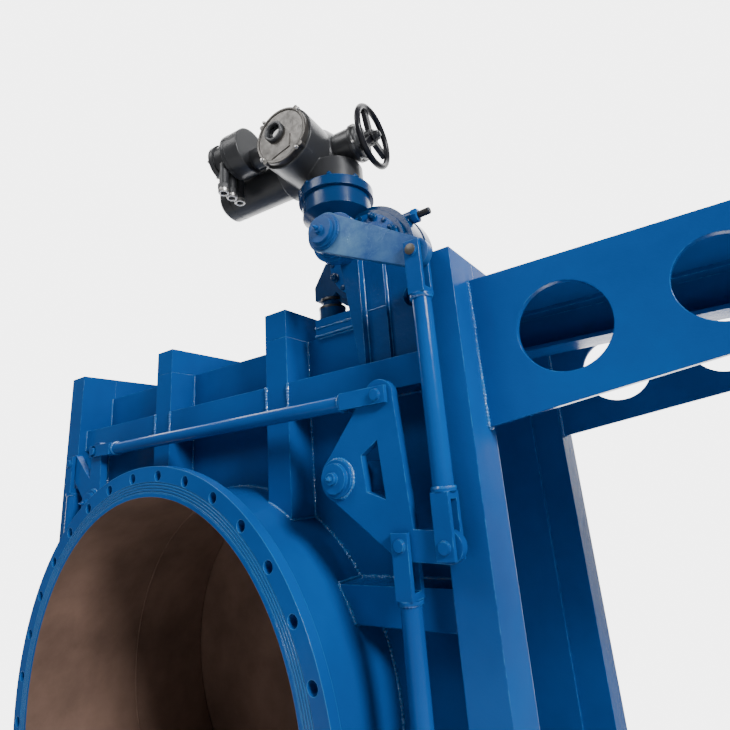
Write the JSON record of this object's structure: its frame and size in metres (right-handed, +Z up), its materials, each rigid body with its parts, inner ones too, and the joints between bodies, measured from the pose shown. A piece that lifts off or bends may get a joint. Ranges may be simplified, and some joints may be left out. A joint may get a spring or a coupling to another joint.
{
  "type": "motorized blind valve",
  "caption": "Large flanged blind valve: welded blue frame round two pipe stubs, a blind plate on a cantilevered monorail, and a clamp linkage driven by a geared electric actuator.",
  "frame": {"origin": "centre of the front flange's face, on the port axis", "axes": "+X to the right along the cantilever, +Y along the port into the valve, +Z up"},
  "size_m": [3.45, 1.4, 3.074],
  "materials": {
    "blue_paint": "gloss mid blue machine enamel over welded steel",
    "worn_paint": "thin blue enamel worn through to bare steel",
    "actuator_paint": "dark grey powder coat on castings",
    "cast_aluminium": "pale cast aluminium cover",
    "black_enamel": "black enamelled handwheel"
  },
  "bodies": {
    "valve_body": {"front_flange": "blue_paint", "rear_flange": "blue_paint", "front_pipe": "blue_paint", "rear_pipe": "blue_paint", "front_seat": "blue_paint", "rear_seat": "blue_paint", "front_plate": "blue_paint", "rear_plate": "blue_paint", "front_ribs": "blue_paint", "rear_ribs": "blue_paint", "rib_ties": "blue_paint", "front_beams": "blue_paint", "rear_beams": "blue_paint", "front_gussets": "blue_paint", "rear_gussets": "blue_paint", "front_posts": "blue_paint", "rear_posts": "blue_paint", "post_ties": "blue_paint", "front_arm_plate": "blue_paint", "rear_arm_plate": "blue_paint", "arm_top_plate": "blue_paint", "monorail_beam": "blue_paint", "blind_plate": "blue_paint", "blind_trolleys": "blue_paint", "clamp_bearings": "blue_paint", "gearbox_base": "blue_paint", "gearbox_stand": "blue_paint", "gear_case": "blue_paint", "gear_cover": "blue_paint", "input_flange": "blue_paint", "actuator_body": "actuator_paint", "window_cover": "cast_aluminium", "terminal_box": "actuator_paint", "motor": "actuator_paint", "handwheel_neck": "actuator_paint"},
    "lever": {"lever": "worn_paint"},
    "connecting_rod": {"connecting_rod": "blue_paint"},
    "crank_upper_right": {"crank_upper_right": "blue_paint"},
    "tie_rod": {"tie_rod": "blue_paint"},
    "down_rod_right": {"down_rod_right": "blue_paint"},
    "crank_lower_right": {"crank_lower_right": "blue_paint"},
    "crank_upper_left": {"crank_upper_left": "blue_paint"},
    "down_rod_left": {"down_rod_left": "blue_paint"},
    "crank_lower_left": {"crank_lower_left": "blue_paint"},
    "handwheel": {"handwheel": "black_enamel"}
  },
  "joints": [
    {"name": "lever_swing", "type": "hinge", "parent": "valve_body", "child": "lever", "pos_m": [0.603, 0.175, 1.312], "axis": [0, -1, 0], "range_deg": [0, 30]},
    {"name": "connecting_rod_pivot", "type": "hinge", "parent": "lever", "child": "connecting_rod", "pos_m": [0.893, 0.175, 1.146], "axis": [0, -1, 0], "range_deg": [-30, 0]},
    {"name": "crank_upper_right_swing", "type": "hinge", "parent": "valve_body", "child": "crank_upper_right", "pos_m": [0.603, 0.175, 0.603], "axis": [0, -1, 0], "range_deg": [0, 30]},
    {"name": "tie_rod_pivot", "type": "hinge", "parent": "crank_upper_right", "child": "tie_rod", "pos_m": [0.746, 0.175, 0.796], "axis": [0, -1, 0], "range_deg": [-27, 0]},
    {"name": "down_rod_right_pivot", "type": "hinge", "parent": "crank_upper_right", "child": "down_rod_right", "pos_m": [0.779, 0.175, 0.442], "axis": [0, -1, 0], "range_deg": [-30, 0]},
    {"name": "crank_lower_right_swing", "type": "hinge", "parent": "valve_body", "child": "crank_lower_right", "pos_m": [0.603, 0.175, -0.603], "axis": [0, -1, 0], "range_deg": [0, 30]},
    {"name": "crank_upper_left_swing", "type": "hinge", "parent": "valve_body", "child": "crank_upper_left", "pos_m": [-0.603, 0.175, 0.603], "axis": [0, -1, 0], "range_deg": [0, 35]},
    {"name": "down_rod_left_pivot", "type": "hinge", "parent": "crank_upper_left", "child": "down_rod_left", "pos_m": [-0.779, 0.175, 0.764], "axis": [0, -1, 0], "range_deg": [-35, 0]},
    {"name": "crank_lower_left_swing", "type": "hinge", "parent": "valve_body", "child": "crank_lower_left", "pos_m": [-0.603, 0.175, -0.603], "axis": [0, -1, 0], "range_deg": [0, 35]},
    {"name": "handwheel_spin", "type": "hinge", "parent": "valve_body", "child": "handwheel", "pos_m": [0.501, 0.372, 1.753], "axis": [0.9962, 0.0872, 0], "continuous": true}
  ],
  "couplings": [
    {"joint": "connecting_rod_pivot", "follows": "lever_swing", "ratio": -1},
    {"joint": "crank_upper_right_swing", "follows": "lever_swing", "ratio": 1},
    {"joint": "tie_rod_pivot", "follows": "lever_swing", "ratio": -0.885},
    {"joint": "down_rod_right_pivot", "follows": "lever_swing", "ratio": -1},
    {"joint": "crank_lower_right_swing", "follows": "lever_swing", "ratio": 1},
    {"joint": "crank_upper_left_swing", "follows": "lever_swing", "ratio": 1.166},
    {"joint": "down_rod_left_pivot", "follows": "lever_swing", "ratio": -1.166},
    {"joint": "crank_lower_left_swing", "follows": "lever_swing", "ratio": 1.166}
  ]
}
